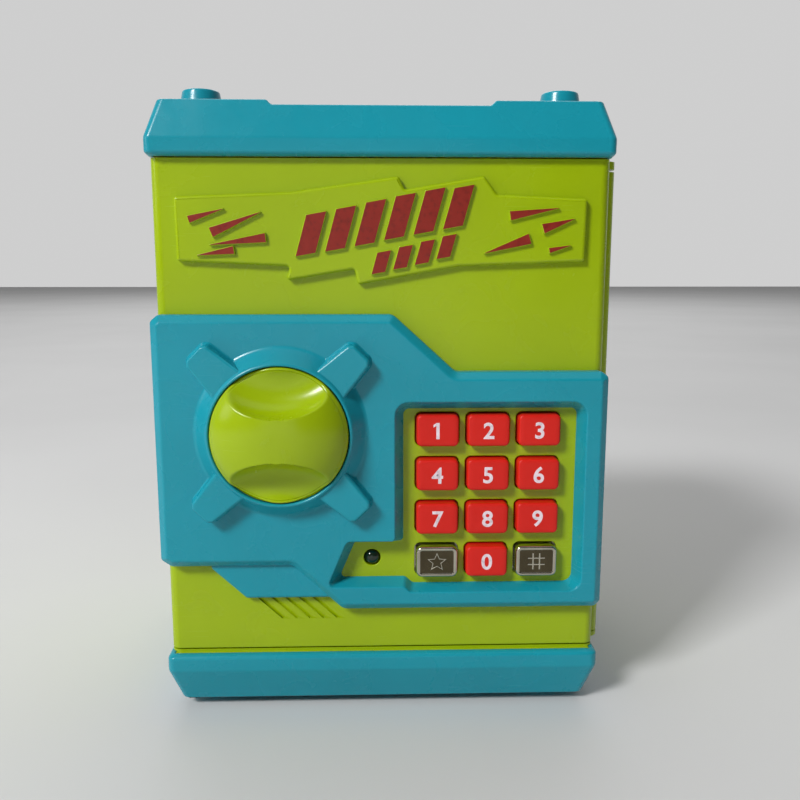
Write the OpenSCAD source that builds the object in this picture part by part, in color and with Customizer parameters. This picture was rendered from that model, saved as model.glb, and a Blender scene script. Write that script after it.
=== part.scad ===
/* [Case] */
// Width of the lime case and of the door
case_w = 138; // [134:1:142]
// Depth of the case, from the door's face to the back wall
case_d = 115; // [105:1:125]
// Height of the case between the base and the cap
case_h = 156.1; // [150:0.1:162]
// Wall thickness of the case
case_t = 2.6; // [2:0.1:3]
// Radius of the case's back corners
case_r = 5; // [3:0.5:8]

/* [Cap and base] */
// Sideways overhang of the cap and base past the case
side_lip = 1; // [0.5:0.1:2]
// Overhang of the cap and base in front of the door's face
front_lip = 3; // [2:0.5:4]
// Overhang of the cap and base behind the case
back_lip = 1.5; // [1:0.5:3]
// Height of the upright band
band_h = 5.5; // [4:0.5:7]
// Height of the slope beyond the band
slope_h = 11; // [9:0.5:13]
// How far the slope leans in
slope_in = 3.6; // [2:0.2:5]
// Wall thickness of the cap and base
tray_t = 2.2; // [1.8:0.1:2.6]
// Height of the feet
foot_h = 3; // [2:0.5:4]
// Height of the studs on the cap
stud_h = 4.2; // [3:0.2:5]
// Depth of the lower middle of the cap
cap_dip = 1.5; // [1:0.1:2]

/* [Coin slot] */
// Length of the coin slot
coin_slot_l = 36; // [30:1:40]
// Width of the coin slot
coin_slot_w = 5; // [4.6:0.1:6]

/* [Door] */
// Depth of the door's side walls
door_t = 12; // [11:0.5:13]
// Thickness of the door's face
door_face_t = 2.4; // [2:0.1:3]
// Thickness of the door's side walls
door_wall_t = 2.2; // [2:0.1:2.6]
// Radius of the door's upright front edges
door_edge_r = 3; // [2:0.5:4]
// Gap between the door and the case
door_gap = 0.3; // [0.2:0.05:0.5]
// Height of the raised banner
banner_t = 2.2; // [1:0.1:2.6]
// Height of the marks on the banner
mark_t = 1; // [0.4:0.1:1.2]

/* [Door plate] */
// How far the teal plate stands in front of the door's face
plate_t = 5.5; // [5:0.1:6]
// Height of the lower step beside the plate
step_t = 2.6; // [2:0.1:3]
// Radius of the collar at the plate
collar_r = 26.1; // [25:0.1:28]
// Height of the collar above the plate
collar_h = 5.3; // [4.5:0.1:6]
// Height of the spokes above the plate
spoke_h = 4.4; // [3:0.1:4.5]

/* [Knob] */
// Radius of the knob
knob_r = 20.8; // [20:0.1:21]
// Height of the knob's crown above the collar
crown_h = 8.4; // [6:0.2:9.4]
// Radius of each finger scoop's curve along the grip
scoop_r = 28.8; // [27:0.1:30]
// Half height of the grip at its middle
grip_half = 6.5; // [6:0.1:8]
// Length of the latch arm from the knob's centre
arm_l = 33; // [31:0.5:34]

/* [Keypad] */
// Width of a key
key_w = 13.2; // [12:0.1:13.4]
// Height of a key
key_h = 10; // [9:0.1:10.2]
// Sideways spacing of the keys
key_pitch_x = 15.9; // [15.8:0.1:16.2]
// Upright spacing of the keys
key_pitch_z = 14.2; // [14:0.1:14.4]
// How far the keys stand in front of the door's face
key_out = 3.5; // [3:0.1:4]

/* [Hinge] */
// Radius of the hinge barrel
barrel_r = 3.4; // [2.8:0.1:3.5]
// Radius of the hinge pins
pin_r = 1; // [0.8:0.1:1.2]

/* [Hidden] */
round_fn = 96;
KEYS = [
    "key_1", "key_2", "key_3",
    "key_4", "key_5", "key_6",
    "key_7", "key_8", "key_9",
    "key_star", "key_0", "key_hash"
];

lime = [0.62, 0.75, 0.05];
teal = [0.10, 0.58, 0.64];
red = [0.82, 0.14, 0.08];
steel = [0.75, 0.76, 0.78];
rubber_grey = [0.55, 0.56, 0.58];
board_green = [0.10, 0.38, 0.20];

// Depths are measured from the door's face, positive towards the back.
half_w = case_w / 2;
band_half = half_w + side_lip;
nose_reach = plate_t + collar_h + crown_h;
face_y = -(case_d + back_lip - nose_reach) / 2;

// Heights
base_low_z = foot_h;
base_top_z = base_low_z + slope_h + band_h;
cap_low_z = base_top_z + case_h;
cap_top_z = cap_low_z + band_h + slope_h;
sill_t = 0.8;
sill_z = base_top_z + sill_t;
door_low_z = sill_z + 0.6;
door_top_z = cap_low_z - 0.3;
deck_t = 2;
deck_low_z = cap_low_z - 0.2;
deck_top_z = cap_low_z + deck_t;
deck_front = 0.6;

// Spigots of the case that plug into the cap and the base
spigot_gap = 0.2;
spigot_half = band_half - tray_t - spigot_gap;
spigot_front = -front_lip + tray_t + spigot_gap;
spigot_back = case_d + back_lip - tray_t - spigot_gap;

// Screws
screw_r = 1.4;
screw_hole_r = 1.45;
screw_clear_r = 1.7;
small_screw_r = 1.1;
small_hole_r = 1.15;
post_r = 3.4;
shell_screws = [[-58, 24], [58, 24], [-58, 88], [58, 88]];
stud_places = [[-55.2, 12], [55.2, 12], [-55.2, 101.5], [55.2, 101.5]];
stud_low_r = 6.4;
stud_top_r = 5.6;
slot_d = 57;

// Hinge
hinge_x = half_w + 0.4;
hinge_d = 11;
knuckle_low_top_z = base_top_z + 1.7;
knuckle_up_low_z = cap_low_z - 2.4;
barrel_low_z = knuckle_low_top_z + 0.3;
barrel_top_z = knuckle_up_low_z - 0.7;
pin_bore_r = pin_r + 0.06;
pin_l = 13;
wall_behind_barrel_d = hinge_d + barrel_r + 0.4;
notch_x = 65.5;
notch_d = hinge_d - barrel_r - 0.5;

// Knob and latch
knob_x = -31.2;
knob_z = 93.2;
collar_bore_r = knob_r + 0.3;
collar_top_r = collar_bore_r + 0.8;
knob_low_d = -1;
hub_r = 5.94;
hub_bore_r = 6;
hub_boss_r = 8.5;
hub_boss_d = 15;
arm_d = 15.4;
arm_t = 2;
arm_half = 4.5;
square_half = 3;
tooth_angle = 64;
tooth_reach = 15;
keeper_d = 12.6;
keeper_t = 2.4;
keeper_x = -60.5;
keeper_low_z = 84;
keeper_top_z = 106;

// Lock
lock_d = arm_d + arm_t / 2;
plunger_r = 2.4;
plunger_x = knob_x + tooth_reach + 1.2;
plunger_end_x = 8;
coil_x = -7;
coil_end_x = 13.5;

// Keypad
key_x = 17.05;
key_z = 93.15;
window_gap = 0.4;
board_d = 6.45;
board_t = 1.6;
led_x = -3.6;
led_z = 51.2;
led_r = 2.5;
board_screw_places = [[12, 103], [54, 103], [12, 39.8], [54, 39.8]];

// Inner cover and its housing
panel_d = 10;
panel_t = 2;
panel_half = notch_x + 0.5;
housing_d = 31;
housing = [-10, 60, 34, 166];
housing_t = 2;
bay = [-4, 54, 112, 160];
bay_floor_d = 13.2;
bay_t = 1.2;
cover_ledge = 1.5;
cover_t = 1.6;
cover_screw = [25, 107.5];
cover_screws = [[-62.5, 27.2], [62.5, 27.2], [-62.5, 168.2], [62.5, 168.2], [-62.5, 72], [63, 72]];
plate_screw_places = [[-60, 122], [-60, 58], [-4, 119], [62.5, 105], [62.5, 38.4], [0, 39.8]];
cell_r = 7.1;
cell_l = 49.5;
cell_rows = [120.5, 136, 151.5];
cell_d = 20.8;
nub_l = 1;
main_board_box = [-5, 55, 40, 84];
main_board_d = 20;
main_board_screw_places = [[-2, 43], [52, 43], [-2, 81], [52, 81]];
speaker_x = -28;
speaker_z = 38.5;
speaker_r = 14;

// Outlines seen from the front, as [x, z]
plate_outline = [
    [-67.7, 129.2], [-70.1, 127.2], [-70.1, 52.2], [-66.8, 50], [-28.7, 50], [-13, 35.3],
    [68, 35.3], [69.8, 37], [69.8, 110], [67.6, 111.6], [22.4, 111.6], [3.1, 129.2]
];
step_outline = [[-56.6, 50.5], [-43.8, 38.7], [-14, 38.7], [-14, 50.5]];
keypad_outline = [
    [6.4, 99.8], [61, 99.8], [61, 42.6], [9.4, 42.6], [7, 44.8],
    [-14.1, 44.8], [-9, 56.8], [6.4, 56.8]
];
banner_outline = [
    [-61.8, 164], [-61.5, 145.1], [-27.8, 143.6], [-29.1, 139.3], [-8.4, 142.7], [-7.4, 138.1],
    [23, 143.6], [61.4, 145], [61.7, 163.6], [34.4, 164.8], [30.5, 170.1], [6.8, 166.1], [4.9, 170],
    [-27, 165.4]
];
// Slanted bars in the banner's middle: left foot [x, z], width, height
bars = [
    [-26.2, 146.2, 6.4, 12.6], [-17.4, 147.6, 6.4, 12.9], [-8.6, 149.2, 6.4, 13.2],
    [0.2, 151, 6.4, 13.2], [9, 152.6, 6.4, 13.2], [17.8, 154.2, 6.4, 12.4],
    [-3.6, 140.9, 4.6, 6.9], [2.9, 142.3, 4.6, 7.1], [9.4, 143.7, 4.6, 7.3], [15.9, 145.4, 4.6, 7.2]
];
bar_slant = 0.28;
bar_rise = 0.18;
// Tapering streaks at the banner's sides: blunt end [x, z], tip [x, z], thickness of the blunt end
streaks = [
    [-51, 153.4, -33, 160.6, 3.4], [-44, 148.4, -58, 146.4, 2.8], [-57.5, 157.2, -44, 161.2, 2.6],
    [-34.5, 152, -55, 149.4, 3.2], [38, 158.4, 56, 161.2, 3.2], [44.5, 151.8, 28, 146.6, 3.6],
    [48, 154.6, 59.6, 158.2, 3.4], [50, 148.2, 59.4, 150.4, 2]
];

module plan(z0, z1) {
    translate([0, face_y, z0]) linear_extrude(z1 - z0) children();
}

module front_slab(d0, d1) {
    translate([0, face_y + d1, 0]) rotate([90, 0, 0]) linear_extrude(d1 - d0) children();
}

module rod_y(x, z, d0, d1, r, r_end = 0) {
    translate([x, face_y + d0, z])
        rotate([-90, 0, 0])
            cylinder(h = d1 - d0, r1 = r, r2 = r_end > 0 ? r_end : r, $fn = round_fn);
}

module rod_z(x, d, z0, z1, r) {
    translate([x, face_y + d, z0]) cylinder(h = z1 - z0, r = r, $fn = round_fn);
}

module rod_x(z, d, x0, x1, r, r_end = 0) {
    translate([x0, face_y + d, z])
        rotate([0, 90, 0])
            cylinder(h = x1 - x0, r1 = r, r2 = r_end > 0 ? r_end : r, $fn = round_fn);
}

module rect(x0, x1, z0, z1) {
    translate([x0, z0]) square([x1 - x0, z1 - z0]);
}

module box(x0, x1, d0, d1, z0, z1) {
    translate([x0, face_y + d0, z0]) cube([x1 - x0, d1 - d0, z1 - z0]);
}

module round_rect(w, h, r) {
    square([w, h - 2 * r], center = true);
    square([w - 2 * r, h], center = true);
    for (sx = [-1, 1], sz = [-1, 1])
        translate([sx * (w / 2 - r), sz * (h / 2 - r)]) circle(r, $fn = 48);
}

// Plan of the case: square front corners of radius front_r, back corners of radius back_r
module case_plan(half, front, back, front_r, back_r) {
    rect(-half, half, front + front_r, back - back_r);
    rect(-half + front_r, half - front_r, front, front + front_r + 1);
    rect(-half + back_r, half - back_r, back - back_r - 1, back);
    for (s = [-1, 1]) {
        translate([s * (half - front_r), front + front_r]) circle(front_r, $fn = 64);
        translate([s * (half - back_r), back - back_r]) circle(back_r, $fn = 64);
    }
}

module knuckle(z0, z1) {
    rod_z(hinge_x, hinge_d, z0, z1, barrel_r);
    box(half_w - case_t, hinge_x, hinge_d, wall_behind_barrel_d + 1, z0, z1);
}

module case_shell() {
    color(lime) difference() {
        union() {
            plan(base_top_z, cap_low_z) difference() {
                case_plan(half_w, door_t + door_gap - 1, case_d, 1, case_r);
                case_plan(half_w - case_t, 0, case_d - case_t, 1, case_r - case_t);
                rect(-half_w - 1, half_w + 1, 0, door_t + door_gap);
                rect(0, half_w + 1, 0, wall_behind_barrel_d);
            }
            plan(base_top_z, sill_z) case_plan(half_w, 0.1, case_d, door_edge_r, case_r);
            plan(base_top_z - deck_t, base_top_z)
                rect(-spigot_half, spigot_half, spigot_front, spigot_back);
            plan(deck_low_z, deck_top_z)
                rect(-spigot_half, spigot_half, door_t + door_gap, spigot_back);
            plan(cap_low_z + 0.1, deck_top_z)
                rect(-spigot_half, spigot_half, deck_front, door_t + door_gap + 1);
            knuckle(base_top_z, knuckle_low_top_z);
            knuckle(knuckle_up_low_z, cap_low_z);
            box(-half_w + 1, keeper_x, keeper_d, keeper_d + keeper_t, keeper_low_z, keeper_top_z);
            for (p = shell_screws)
                rod_z(p[0], p[1], base_low_z + 6.05, base_top_z - 1, post_r);
        }
        for (p = shell_screws) {
            rod_z(p[0], p[1], deck_low_z - 1, deck_top_z + 1, screw_clear_r);
            rod_z(p[0], p[1], base_low_z, base_top_z - 2.5, screw_hole_r);
        }
        for (z = [base_top_z - 1, knuckle_up_low_z - 1])
            rod_z(hinge_x, hinge_d, z, z + 4, pin_r + 0.02);
        box(-coin_slot_l / 2 - 4, coin_slot_l / 2 + 4, slot_d - 7, slot_d + 7,
            deck_low_z - 1, deck_top_z + 1);
    }
}

// Solid of the cap, standing on its free edge: intersection of its front and side profiles
module tray_solid(inset, top) {
    low = inset > 0 ? -1 : 0;
    edge = inset > 0 ? 0 : side_lip;
    chamfer_h = inset > 0 ? 0 : 0.8;
    half = band_half - inset;
    front = -front_lip + inset;
    back = case_d + back_lip - inset;
    lean = slope_in * (top - band_h) / slope_h;
    intersection() {
        translate([0, face_y + back + 1, 0]) rotate([90, 0, 0]) linear_extrude(back - front + 2)
            polygon([
                [-half + edge, low], [-half, low + chamfer_h], [-half, band_h], [-half + lean, top],
                [half - lean, top], [half, band_h], [half, low + chamfer_h], [half - edge, low]
            ]);
        translate([-half - 1, face_y, 0]) rotate([90, 0, 90]) linear_extrude(2 * half + 2)
            polygon([
                [front + edge, low], [front, low + chamfer_h], [front, band_h], [front + lean, top],
                [back - lean, top], [back, band_h], [back, low + chamfer_h], [back - edge, low]
            ]);
    }
}

module studs(z, h) {
    for (p = stud_places)
        translate([p[0], face_y + p[1], z])
            cylinder(h = h, r1 = stud_low_r, r2 = stud_top_r, $fn = round_fn);
}

module top_cap() {
    top = band_h + slope_h;
    floor_top = top - cap_dip - tray_t;
    color(teal) translate([0, 0, cap_low_z]) difference() {
        union() {
            difference() {
                tray_solid(0, top);
                tray_solid(tray_t, floor_top);
                translate([0, face_y + case_d + 10, 0]) rotate([90, 0, 0]) linear_extrude(case_d + 20)
                    polygon([
                        [-34, top], [-32.5, top - cap_dip], [32.5, top - cap_dip], [34, top],
                        [34, top + 1], [-34, top + 1]
                    ]);
            }
            for (p = shell_screws) rod_z(p[0], p[1], deck_t + 0.05, floor_top + 1, post_r);
            studs(top, stud_h);
        }
        for (p = shell_screws) rod_z(p[0], p[1], deck_t, floor_top - 1, screw_hole_r);
        translate([0, face_y + slot_d, 0])
            linear_extrude(top + 1) round_rect(coin_slot_l, coin_slot_w, 1.5);
        translate([0, face_y + slot_d, top - cap_dip - 0.6])
            linear_extrude(2) round_rect(coin_slot_l + 8, coin_slot_w + 8, 3);
    }
}

module base() {
    top = band_h + slope_h;
    color(teal) difference() {
        union() {
            translate([0, 0, base_top_z]) mirror([0, 0, 1]) {
                difference() {
                    tray_solid(0, top);
                    tray_solid(tray_t, top - tray_t);
                }
                studs(top, foot_h);
            }
            for (p = shell_screws) rod_z(p[0], p[1], base_low_z + 1, base_low_z + 6, 4.6);
        }
        for (p = shell_screws) {
            rod_z(p[0], p[1], base_low_z - 1, base_low_z + 3.2, 3.2);
            rod_z(p[0], p[1], base_low_z, base_low_z + 7, screw_clear_r);
        }
    }
}

// Pan-head screw standing on its head at the origin, shank along +Z, with a cross recess
module screw(head_r, head_h, shank_r, shank_l) {
    difference() {
        union() {
            cylinder(h = head_h, r = head_r, $fn = 48);
            cylinder(h = head_h + shank_l, r = shank_r, $fn = 48);
        }
        for (a = [0, 90]) rotate([0, 0, a])
            translate([-head_r * 0.6, -0.35, -0.1]) cube([head_r * 1.2, 0.7, head_h * 0.6 + 0.1]);
    }
}

// Screw driven from behind the door towards its face, the head's underside at depth d
module door_screw(x, z, d, head_r, head_h, shank_r, shank_l) {
    translate([x, face_y + d + head_h, z]) rotate([90, 0, 0]) screw(head_r, head_h, shank_r, shank_l);
}

module cap_screws() {
    color(steel) for (p = shell_screws)
        translate([p[0], face_y + p[1], deck_low_z - 2]) screw(2.8, 2, screw_r, 10.8);
}

module base_screws() {
    color(steel) for (p = shell_screws)
        translate([p[0], face_y + p[1], base_low_z + 1.2]) screw(2.8, 2, screw_r, 9.5);
}

module hinge_pin_upper() {
    color(steel) rod_z(hinge_x, hinge_d, cap_low_z - pin_l, cap_low_z - 0.05, pin_r);
}

module hinge_pin_lower() {
    color(steel) rod_z(hinge_x, hinge_d, base_top_z + 0.05, base_top_z + pin_l, pin_r);
}

function bar_points(b) = [
    [b[0], b[1]], [b[0] + b[2], b[1] + b[2] * bar_rise],
    [b[0] + b[2] + b[3] * bar_slant, b[1] + b[2] * bar_rise + b[3]],
    [b[0] + b[3] * bar_slant, b[1] + b[3]]
];

module banner() {
    front_slab(-banner_t, 0.1) polygon(banner_outline);
    front_slab(-banner_t - mark_t, -banner_t + 0.1) {
        for (b = bars) polygon(bar_points(b));
        for (s = streaks) {
            run = [s[2] - s[0], s[3] - s[1]];
            side = [-run[1], run[0]] * s[4] / 2 / norm(run);
            polygon([[s[0], s[1]] + side, [s[0], s[1]] - side, [s[2], s[3]]]);
        }
    }
}

// Louvres: ramps that run down to the right, each with a slit through the face along its left edge
module louvres() {
    pitch = 4.4;
    run = 8;
    drop = 7.4;
    low = 30.6;
    ramp_w = 2.4;
    ramp_d = 1.3;
    slit_w = 0.3;
    profile = [
        [0, -0.1], [ramp_w, -0.1], [ramp_w, 0], [slit_w, ramp_d],
        [slit_w, door_face_t + 0.1], [0, door_face_t + 0.1]
    ];
    intersection() {
        box(-45, -5, -1, door_face_t + 1, low, low + drop);
        for (i = [0 : 4])
            translate([-32.8 + i * pitch, face_y, low])
                rotate([0, -atan2(run, drop), 0])
                    translate([0, 0, -5]) linear_extrude(22) polygon(profile);
    }
}

module door_posts(places, d0, d1, r) {
    for (p = places) rod_y(p[0], p[1], d0, d1, r);
}

module door_shell() {
    color(lime) difference() {
        union() {
            difference() {
                plan(door_low_z, door_top_z) difference() {
                    case_plan(half_w, 0, door_t + 2, door_edge_r, 1);
                    rect(-half_w - 1, half_w + 1, door_t, door_t + 5);
                }
                box(-half_w + door_wall_t, half_w - door_wall_t, door_face_t, door_t + 1,
                    door_low_z + door_wall_t, door_top_z - door_wall_t);
                box(notch_x, half_w + 1, notch_d, door_t + 1, door_low_z - 1, barrel_low_z);
                box(notch_x, half_w + 1, notch_d, door_t + 1, barrel_top_z, door_top_z + 1);
            }
            rod_z(hinge_x, hinge_d, barrel_low_z, barrel_top_z, barrel_r);
            banner();
            rod_y(knob_x, knob_z, door_face_t - 0.5, hub_boss_d, hub_boss_r);
            door_posts(cover_screws, door_face_t - 0.5, panel_d - 0.05, 2.8);
            door_posts(board_screw_places, door_face_t - 0.5, board_d - 0.05, 2.6);
            difference() {
                rod_y(speaker_x, speaker_z, door_face_t - 0.5, 5, speaker_r + 1.2);
                rod_y(speaker_x, speaker_z, door_face_t - 1, 6, speaker_r + 0.2);
            }
        }
        for (i = [0 : 11]) at_key(i) front_window();
        rod_y(led_x, led_z, -1, door_face_t + 1, led_r + 0.2);
        louvres();
        rod_y(knob_x, knob_z, -1, hub_boss_d + 1, hub_bore_r);
        door_posts(cover_screws, 4, panel_d + 1, small_hole_r);
        door_posts(board_screw_places, 3, board_d + 1, small_hole_r);
        door_posts(plate_screw_places, -1, door_face_t + 0.1, 1.4);
        for (z = [barrel_low_z - 1, barrel_top_z - pin_l])
            rod_z(hinge_x, hinge_d, z, z + pin_l + 1, pin_bore_r);
    }
}

module at_key(i) {
    translate([key_x + (i % 3) * key_pitch_x, 0, key_z - floor(i / 3) * key_pitch_z]) children();
}

module front_window() {
    front_slab(-1, door_face_t + 1) round_rect(key_w + 2 * window_gap, key_h + 2 * window_gap, 1.9);
}

module key_cap(i) {
    metal = i == 9 || i == 11;
    color(metal ? [0.3, 0.29, 0.27] : red) at_key(i) {
        front_slab(-key_out, door_face_t + 0.4) round_rect(key_w, key_h, 1.5);
        front_slab(door_face_t + 0.3, door_face_t + 1) round_rect(key_w + 2.2, key_h + 2.2, 1);
    }
}

// Spoke outline lying along +X from the knob's centre
module spoke_outline(grow) {
    polygon([
        [22.5, -5.9 - grow], [34 + grow, -4.3 - grow], [35.2 + grow, -3 - grow],
        [35.2 + grow, 3 + grow], [34 + grow, 4.3 + grow], [22.5, 5.9 + grow]
    ]);
}

module door_plate() {
    color(teal) difference() {
        union() {
            difference() {
                union() {
                    front_slab(-plate_t, 0) polygon(plate_outline);
                    front_slab(-step_t, 0) polygon(step_outline);
                }
                front_slab(-plate_t + 2.2, 0.1) difference() {
                    offset(delta = -2.2) polygon(plate_outline);
                    offset(delta = 3) polygon(keypad_outline);
                    translate([knob_x, knob_z]) circle(collar_bore_r + 2.4, $fn = 64);
                    for (p = plate_screw_places) translate(p) circle(2.8, $fn = 32);
                }
            }
            rod_y(knob_x, knob_z, -plate_t - collar_h, -plate_t + 0.1, collar_top_r, collar_r);
            for (a = [45 : 90 : 315]) {
                front_slab(-plate_t - spoke_h, -plate_t + 0.1)
                    translate([knob_x, knob_z]) rotate(a) spoke_outline(0);
                front_slab(-plate_t - spoke_h / 2, -plate_t + 0.1)
                    translate([knob_x, knob_z]) rotate(a) spoke_outline(0.6);
            }
        }
        front_slab(-plate_t - 1, 0.1) polygon(keypad_outline);
        rod_y(knob_x, knob_z, -plate_t - collar_h - 1, 1, collar_bore_r);
        door_posts(plate_screw_places, -3.4, 0.1, small_hole_r);
    }
}

module plate_screws() {
    color(steel) for (p = plate_screw_places)
        door_screw(p[0], p[1], door_face_t, 2.2, 1.6, small_screw_r, 5.4);
}

// Knob body: crowned front with two ring-shaped scoops cut by tori
module knob() {
    crown_r = (knob_r * knob_r + crown_h * crown_h) / (2 * crown_h);
    crown_d = -plate_t - collar_h;
    tube_r = 9;
    scoop_c = grip_half + scoop_r;
    color(lime) difference() {
        union() {
            intersection() {
                translate([knob_x, face_y + crown_d - crown_h + crown_r, knob_z])
                    sphere(crown_r, $fn = 128);
                rod_y(knob_x, knob_z, crown_d - crown_h - 1, crown_d + 0.1, knob_r);
            }
            rod_y(knob_x, knob_z, crown_d, knob_low_d, knob_r);
            rod_y(knob_x, knob_z, -7, arm_d - 0.05, hub_r);
            front_slab(arm_d - 0.1, arm_d + arm_t - 0.1)
                translate([knob_x, knob_z]) square(2 * square_half, center = true);
        }
        for (s = [-1, 1])
            translate([knob_x, face_y + crown_d - crown_h, knob_z + s * scoop_c])
                rotate([90, 0, 0]) rotate_extrude($fn = 128)
                    translate([scoop_r - tube_r, 0]) circle(tube_r, $fn = 64);
        difference() {
            rod_y(knob_x, knob_z, -7, knob_low_d + 1, knob_r - 2);
            rod_y(knob_x, knob_z, -8, knob_low_d + 2, hub_r);
        }
        rod_y(knob_x, knob_z, arm_d - 10, arm_d + arm_t + 1, screw_hole_r);
    }
}

// Latch arm: hangs down when the safe is open, points at the keeper when it is locked
module latch_arm() {
    square_gap = 0.05;
    color(steel) translate([knob_x, 0, knob_z]) difference() {
        union() {
            rod_y(0, 0, arm_d, arm_d + arm_t, 9.5);
            rod_y(0, -arm_l + arm_half, arm_d, arm_d + arm_t, arm_half);
            front_slab(arm_d, arm_d + arm_t) rect(-arm_half, arm_half, -arm_l + arm_half, 0);
            front_slab(arm_d, arm_d + arm_t) rotate(tooth_angle) rect(0, tooth_reach, -2.2, 2.2);
        }
        front_slab(arm_d - 1, arm_d + arm_t + 1) square(2 * (square_half + square_gap), center = true);
    }
}

module knob_screw() {
    color(steel) door_screw(knob_x, knob_z, arm_d + arm_t + 0.05, 4.6, 1.8, screw_r, 10);
}

module lock_plunger() {
    color(steel) rod_x(knob_z, lock_d, plunger_x, plunger_end_x, plunger_r);
}

module solenoid_frame() {
    color(steel) difference() {
        union() {
            box(coil_x, coil_x + 1.2, lock_d - 6, lock_d + 6, knob_z - 7, knob_z + 7);
            box(coil_end_x - 1.2, coil_end_x, lock_d - 6, lock_d + 6, knob_z - 7, knob_z + 7);
            box(coil_x, coil_end_x, lock_d + 5, lock_d + 6, knob_z - 7, knob_z + 7);
        }
        rod_x(knob_z, lock_d, coil_x - 1, coil_x + 3, plunger_r + 0.1);
    }
}

module solenoid_coil() {
    color("peru") difference() {
        rod_x(knob_z, lock_d, coil_x + 1.25, coil_end_x - 1.25, 4.9);
        rod_x(knob_z, lock_d, coil_x, coil_end_x, plunger_r + 0.1);
    }
}

// Compression spring behind the plunger: a wire swept along a helix
module plunger_spring() {
    turns = 5;
    steps = 16;
    sides = 8;
    wire_r = 0.2;
    coil_r = 1.9;
    start_x = plunger_end_x + wire_r + 0.02;
    length = coil_end_x - 1.2 - start_x - wire_r - 0.02;
    rings = turns * steps;
    points = [
        for (i = [0 : rings], j = [0 : sides - 1])
            let (a = 360 * i / steps, b = 360 * j / sides, r = coil_r + wire_r * cos(b))
            [
                start_x + length * i / rings + wire_r * sin(b),
                face_y + lock_d + r * cos(a),
                knob_z + r * sin(a)
            ]
    ];
    sides_faces = [
        for (i = [0 : rings - 1], j = [0 : sides - 1])
            let (k = (j + 1) % sides)
            [i * sides + j, (i + 1) * sides + j, (i + 1) * sides + k, i * sides + k]
    ];
    ends = [[for (j = [0 : sides - 1]) j], [for (j = [sides - 1 : -1 : 0]) rings * sides + j]];
    color(steel) polyhedron(points, concat(sides_faces, ends));
}

module keypad_membrane() {
    color(rubber_grey) {
        front_slab(board_d - 1.05, board_d - 0.05) rect(8, 58, 42.6, 100.2);
        for (i = [0 : 11]) at_key(i)
            translate([0, face_y + board_d - 1, 0])
                rotate([90, 0, 0]) cylinder(h = 2, r1 = 4.2, r2 = 2.6, $fn = 48);
    }
}

module keypad_board() {
    color(board_green) difference() {
        front_slab(board_d, board_d + board_t) {
            rect(7.5, 59.5, 37.4, 105.4);
            rect(-9, 8, 45.5, 57);
        }
        door_posts(board_screw_places, board_d - 1, board_d + board_t + 1, 1.4);
        for (s = [-1, 1]) rod_y(led_x + s * 1.27, led_z, board_d - 1, board_d + board_t + 1, 0.45);
    }
}

module keypad_board_screws() {
    color(steel) for (p = board_screw_places)
        door_screw(p[0], p[1], board_d + board_t, 2.2, 1.5, small_screw_r, 4.4);
}

module status_led() {
    color([0.1, 0.2, 0.12]) {
        intersection() {
            rod_y(led_x, led_z, -2, 4, led_r);
            translate([led_x, face_y + 2, led_z]) sphere(led_r + 0.3, $fn = 64);
        }
        rod_y(led_x, led_z, 2.6, 4.2, led_r);
        rod_y(led_x, led_z, 3.4, 4.4, led_r + 0.4);
        for (s = [-1, 1]) rod_y(led_x + s * 1.27, led_z, 4, board_d + board_t + 0.8, 0.3);
    }
}

module speaker() {
    color([0.25, 0.25, 0.27])
        translate([speaker_x, face_y + door_face_t + 0.1, speaker_z])
            rotate([-90, 0, 0]) rotate_extrude($fn = round_fn)
                polygon([
                    [0, 2.2], [5, 2.2], [12.4, 0.6], [12.4, 0], [14, 0],
                    [14, 2], [9, 3.6], [7, 3.6], [7, 6.4], [0, 6.4]
                ]);
}

module housing_rect(inset) {
    rect(housing[0] + inset, housing[1] - inset, housing[2] + inset, housing[3] - inset);
}

module bay_rect(grow) {
    rect(bay[0] - grow, bay[1] + grow, bay[2] - grow, bay[3] + grow);
}

module inner_cover() {
    boss_top = housing_d - housing_t + 0.1;
    color(lime) difference() {
        union() {
            front_slab(panel_d, panel_d + panel_t)
                rect(-panel_half, panel_half,
                    door_low_z + door_wall_t + 0.3, door_top_z - door_wall_t - 0.3);
            front_slab(panel_d + 0.5, housing_d) housing_rect(0);
        }
        difference() {
            front_slab(panel_d - 1, housing_d - housing_t) housing_rect(housing_t);
            front_slab(bay_floor_d - bay_t, housing_d) bay_rect(bay_t);
            rod_y(cover_screw[0], cover_screw[1], 17, housing_d, 3.6);
            door_posts(main_board_screw_places, main_board_d + board_t + 0.05, boss_top, 2.8);
        }
        front_slab(bay_floor_d, housing_d + 1) bay_rect(0);
        front_slab(housing_d - cover_t, housing_d + 1) {
            bay_rect(cover_ledge);
            rect(cover_screw[0] - 5.1, cover_screw[0] + 5.1, cover_screw[1] - 4.6, bay[2]);
        }
        rod_y(cover_screw[0], cover_screw[1], 18, housing_d, small_hole_r);
        door_posts(main_board_screw_places, main_board_d, housing_d - 3, small_hole_r);
        door_posts(cover_screws, panel_d - 1, panel_d + panel_t + 1, 1.4);
        rod_y(knob_x, knob_z, panel_d - 1, panel_d + panel_t + 1, hub_boss_r + 0.3);
        rod_x(knob_z, lock_d, housing[0] - 1, housing[0] + housing_t + 1, plunger_r + 0.6);
    }
}

module inner_cover_screws() {
    color(steel) for (p = cover_screws)
        door_screw(p[0], p[1], panel_d + panel_t, 2.6, 1.6, small_screw_r, 7);
}

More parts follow.
